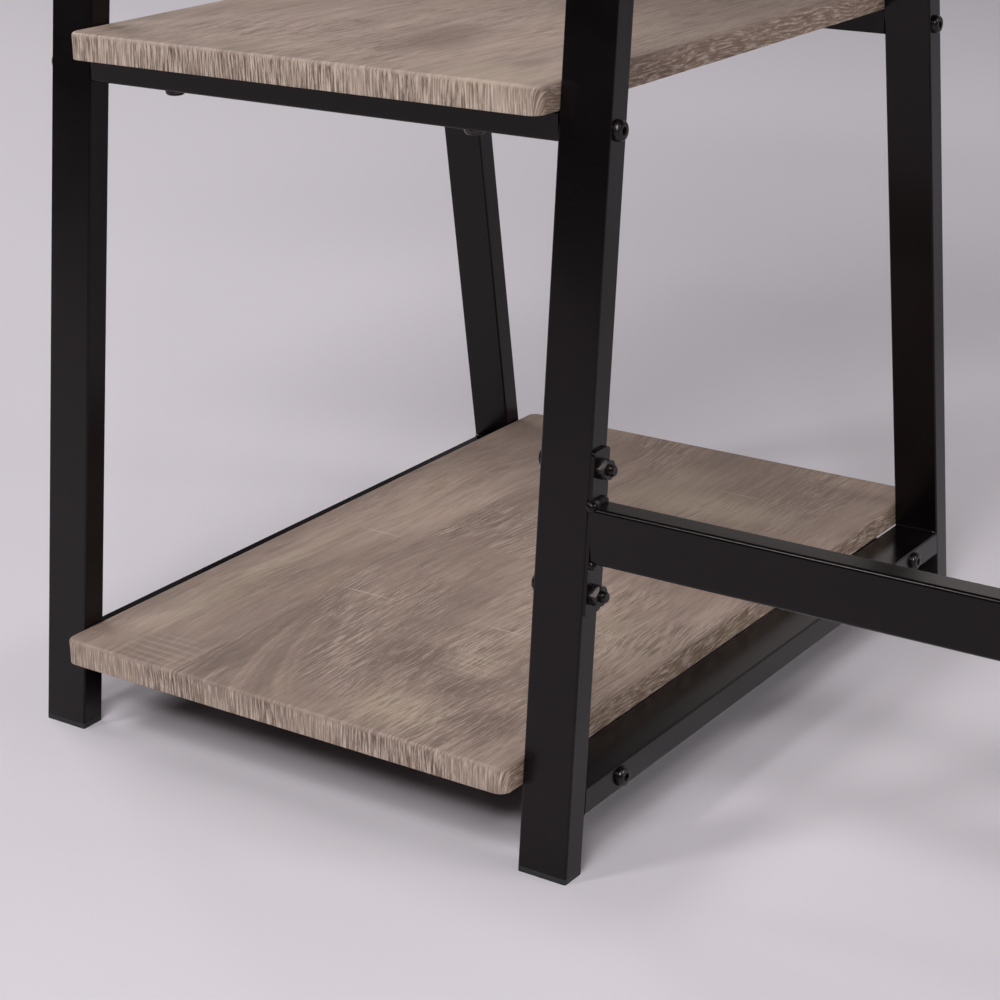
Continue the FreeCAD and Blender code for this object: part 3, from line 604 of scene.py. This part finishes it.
# Places are across the grain and along it, from the middle of the board. Arches, open grain, smokes, straws
# and ripples have a centre and a reach, and the last three a strength. A scratch has a centre and half its
# length.
BOARDS = {
    "lower_shelf": dict(
        along_desk=False, paleness=0.04, seam=0.072,
        arched=((0.055, 0.200), (0.085, 0.150)),
        open_grain=((-0.080, 0.165), (0.130, 0.110)),
        smokes=[
            ((-0.118, 0.200), (0.030, 0.026), 0.75), ((-0.077, 0.171), (0.030, 0.020), 0.62),
            ((-0.030, 0.158), (0.042, 0.036), 0.70), ((0.060, 0.210), (0.021, 0.036), 0.85),
            ((0.062, 0.140), (0.015, 0.075), 0.72), ((0.092, 0.110), (0.034, 0.160), 0.20),
            ((0.152, 0.040), (0.018, 0.320), 0.60), ((0.110, -0.190), (0.090, 0.080), 0.40),
            ((-0.012, 0.090), (0.028, 0.090), 0.42), ((0.062, -0.060), (0.034, 0.090), 0.42),
            ((0.000, -0.240), (0.250, 0.080), 0.30), ((-0.095, 0.160), (0.085, 0.085), 0.46),
            ((-0.130, -0.160), (0.040, 0.090), 0.40), ((0.005, 0.120), (0.120, 0.160), 0.24),
            ((0.050, -0.050), (0.080, 0.130), 0.24), ((0.128, -0.150), (0.045, 0.060), 0.36),
            ((0.045, -0.212), (0.055, 0.050), 0.36)],
        straws=[
            ((-0.066, 0.212), (0.040, 0.028), 0.50), ((-0.066, 0.143), (0.026, 0.022), 0.30),
            ((-0.115, 0.070), (0.050, 0.050), 0.30), ((0.124, 0.130), (0.014, 0.150), 0.30),
            ((-0.050, -0.140), (0.090, 0.030), 0.45), ((-0.018, -0.175), (0.032, 0.042), 0.35)],
        ripples=[((0.096, 0.224), (0.036, 0.034), 0.26), ((-0.064, 0.143), (0.028, 0.026), 0.16)],
        scratches=[
            ((0.047, 0.094), 0.026), ((-0.055, 0.096), 0.018), ((-0.090, 0.070), 0.060),
            ((0.020, -0.060), 0.030), ((-0.060, -0.170), 0.024), ((0.100, 0.010), 0.022)]),
    "upper_shelf": dict(
        along_desk=False, paleness=0.50, seam=0.4,
        arched=None,
        open_grain=((0.000, 0.235), (0.160, 0.060)),
        smokes=[
            ((-0.032, 0.112), (0.030, 0.060), 0.60), ((-0.118, 0.150), (0.012, 0.026), 0.45),
            ((0.000, -0.150), (0.200, 0.150), 0.30), ((-0.050, 0.128), (0.020, 0.040), 0.30)],
        straws=[((-0.120, 0.190), (0.050, 0.040), 0.35), ((0.040, 0.165), (0.080, 0.030), 0.35)],
        ripples=[((0.060, 0.060), (0.045, 0.050), 0.12)],
        scratches=[((0.090, 0.120), 0.030), ((-0.070, 0.040), 0.026), ((0.030, -0.080), 0.034)]),
    "desktop": dict(
        along_desk=True, paleness=0.15, seam=0.09,
        arched=((0.070, 0.100), (0.090, 0.300)),
        open_grain=((-0.150, 0.300), (0.120, 0.300)),
        smokes=[
            ((-0.100, 0.250), (0.080, 0.200), 0.50), ((0.020, -0.350), (0.060, 0.160), 0.50),
            ((0.170, 0.050), (0.050, 0.260), 0.35)],
        straws=[((-0.040, 0.080), (0.060, 0.200), 0.35), ((-0.180, -0.200), (0.050, 0.180), 0.35)],
        ripples=[((-0.100, -0.300), (0.040, 0.060), 0.20), ((0.150, 0.380), (0.040, 0.050), 0.20)],
        scratches=[
            ((-0.020, 0.160), 0.034), ((-0.130, 0.060), 0.028), ((0.060, -0.140), 0.030),
            ((0.150, -0.300), 0.034), ((-0.080, -0.440), 0.030), ((0.170, 0.240), 0.026)]),
}
for number, (board, looks) in enumerate(BOARDS.items()):
    dress([board], oak_foil(board, number * PLANK_STEP, **looks))


# Bolts and nuts
# Button-head steel bolts with hex sockets hold the tubes to the frames and the boards to the tubes, and hex
# nuts hold the crossbar's plates. Their zinc plating is passivated black.

ZINC_BLACK = (0.022, 0.019, 0.019, 1)
ZINC_SMOKED = (0.060, 0.051, 0.050, 1)
ZINC_METAL = 0.85
BLACK_ZINC_ROUGHNESS = (0.20, 0.34)
TURNED_DEPTH = 0.00001
BOLT_SETS = ("lower_shelf", "upper_shelf", "desktop", "shelf_tube", "desktop_tube", "crossbar")


def black_zinc():
    """Black zinc plating."""
    finish, shader = new_finish("black_zinc")
    place = object_place(finish)
    cloud = grain_noise(finish, place, 260, detail=4)
    turned = grain_noise(finish, place, 3800, detail=2)
    tone = blend_colours(finish, spread(finish, cloud, 0.35, 0.7), ZINC_BLACK, ZINC_SMOKED)
    join(finish, tone, shader.inputs["Base Color"])
    shader.inputs["Metallic"].default_value = ZINC_METAL
    join(finish, spread(finish, cloud, 0.3, 0.7, *BLACK_ZINC_ROUGHNESS), shader.inputs["Roughness"])
    raise_surface(finish, shader, [(turned, TURNED_DEPTH)])
    return finish


dress([f"{name}_bolts" for name in BOLT_SETS] + ["crossbar_nuts"], black_zinc())


# Threaded plugs and inserts
# Turned steel fittings with a bright zinc plating, fixed in the ends of the tubes and in the undersides of
# the boards. The bolts screw into them, so they hardly show.

ZINC_GREY = (0.46, 0.46, 0.44, 1)
ZINC_BRIGHT = (0.64, 0.64, 0.62, 1)
BRIGHT_ZINC_ROUGHNESS = (0.28, 0.44)
SPANGLE_DEPTH = 0.00002


def bright_zinc():
    """Bright zinc plating."""
    finish, shader = new_finish("bright_zinc")
    place = object_place(finish)
    spangle = grain_noise(finish, place, 420, detail=4)
    tone = blend_colours(finish, spread(finish, spangle, 0.3, 0.7), ZINC_GREY, ZINC_BRIGHT)
    join(finish, tone, shader.inputs["Base Color"])
    shader.inputs["Metallic"].default_value = 1.0
    join(finish, spread(finish, spangle, 0.3, 0.7, *BRIGHT_ZINC_ROUGHNESS), shader.inputs["Roughness"])
    raise_surface(finish, shader, [(spangle, SPANGLE_DEPTH)])
    return finish


dress(["shelf_tube_plugs", "desktop_tube_plugs"] + [f"{board}_inserts" for board in BOARDS], bright_zinc())


# Studio
# The desk stands on a sheet of pale lilac-grey paper, in dark air but for a pale backdrop on its far side,
# which the bars' upper faces mirror. Five softboxes light it from above and from behind the camera.

PAPER = (0.60, 0.565, 0.605, 1)
PAPER_SHADE = 0.97
PAPER_SIZE = 24
PAPER_ROUGHNESS = 0.9
PAPER_GLOSS = 0.1

bpy.ops.object.select_all(action="DESELECT")
bpy.ops.mesh.primitive_plane_add(size=PAPER_SIZE, location=(0, 0, 0))
paper = bpy.context.object
paper.name = "paper_floor"
paper_finish, paper_shader = new_finish("studio_paper")
unevenness = grain_noise(paper_finish, object_place(paper_finish), 1.2, detail=2)
shaded_paper = (*(PAPER_SHADE * part for part in PAPER[:3]), 1)
paper_tone = blend_colours(paper_finish, unevenness, PAPER, shaded_paper)
join(paper_finish, paper_tone, paper_shader.inputs["Base Color"])
paper_shader.inputs["Roughness"].default_value = PAPER_ROUGHNESS
paper_shader.inputs["Specular IOR Level"].default_value = PAPER_GLOSS
paper.data.materials.append(paper_finish)

# The backdrop's heading, how nearly a direction has to agree with it, and how high it starts and ends
BACKDROP_HEADING = (-0.035, -0.999, 0.0)
BACKDROP_SIDES = (0.72, 0.84)
BACKDROP_FOOT = (0.10, 0.20)
BACKDROP_TOP = (0.75, 0.50)
BACKDROP_PALE = (0.72, 0.665, 0.65, 1)
AIR_DARK = (0.045, 0.042, 0.045, 1)

world = bpy.data.worlds.new("studio_air")
bpy.context.scene.world = world
world.use_nodes = True
air = world.node_tree.nodes["Background"]
air.inputs["Strength"].default_value = 1.0
heading = add_node(world, "ShaderNodeTexCoord").outputs["Generated"]
facing = add_node(world, "ShaderNodeVectorMath", operation="DOT_PRODUCT")
facing.inputs[1].default_value = BACKDROP_HEADING
join(world, heading, facing.inputs[0])
rise = vector_part(world, heading, "Z")
backdrop = product(world, spread(world, facing.outputs["Value"], *BACKDROP_SIDES),
                   spread(world, rise, *BACKDROP_FOOT), spread(world, rise, *BACKDROP_TOP))
join(world, blend_colours(world, backdrop, AIR_DARK, BACKDROP_PALE), air.inputs["Color"])

# Each softbox: bearing from +X and height above the floor in degrees, width, height, radiance
SOFTBOXES = {
    "key": (114, 34.5, 1.9, 0.45, 33.0),
    "high_key": (100, 48, 1.7, 1.0, 13.0),
    "left": (350, 33, 2.8, 1.4, 7.4),
    "right": (190, 26, 2.4, 1.0, 10.0),
    "edge": (55, 50, 0.55, 0.9, 26.0),
}
SOFTBOX_DISTANCE = 4.5
SOFTBOX_AIM = mathutils.Vector((0.3, 0.0, 0.3))
for name, (bearing, angle, width, height, radiance) in SOFTBOXES.items():
    lamp = bpy.data.lights.new(name, "AREA")
    lamp.shape = "RECTANGLE"
    lamp.size = width
    lamp.size_y = height
    lamp.energy = math.pi * width * height * radiance
    softbox = bpy.data.objects.new(name, lamp)
    bpy.context.scene.collection.objects.link(softbox)
    turn = mathutils.Euler((0, -math.radians(angle), math.radians(bearing)))
    outward = mathutils.Vector((SOFTBOX_DISTANCE, 0, 0))
    outward.rotate(turn)
    softbox.location = SOFTBOX_AIM + outward
    softbox.rotation_euler = outward.to_track_quat("Z", "Y").to_euler()
    softbox.visible_camera = False


# Camera
# It looks down over the back of the shelf end, as the photograph does, and the picture is cut off-centre.
# The focal length and the lens's centre are shares of the picture's width.

CAMERA_PLACE = (-0.38847, 1.13225, 0.62278)
CAMERA_TURN = (70.9874, 0.6627, -146.4078)
FOCAL_SHARE = 2.38676
LENS_CENTRE_SHARE = (0.05911, 0.07145)

camera_data = bpy.data.cameras.new("camera")
camera = bpy.data.objects.new("camera", camera_data)
bpy.context.scene.collection.objects.link(camera)
bpy.context.scene.camera = camera
camera.location = CAMERA_PLACE
camera.rotation_euler = [math.radians(angle) for angle in CAMERA_TURN]
camera_data.lens = FOCAL_SHARE * camera_data.sensor_width
camera_data.shift_x = -LENS_CENTRE_SHARE[0]
camera_data.shift_y = -LENS_CENTRE_SHARE[1]
bpy.context.scene.view_settings.view_transform = "Standard"
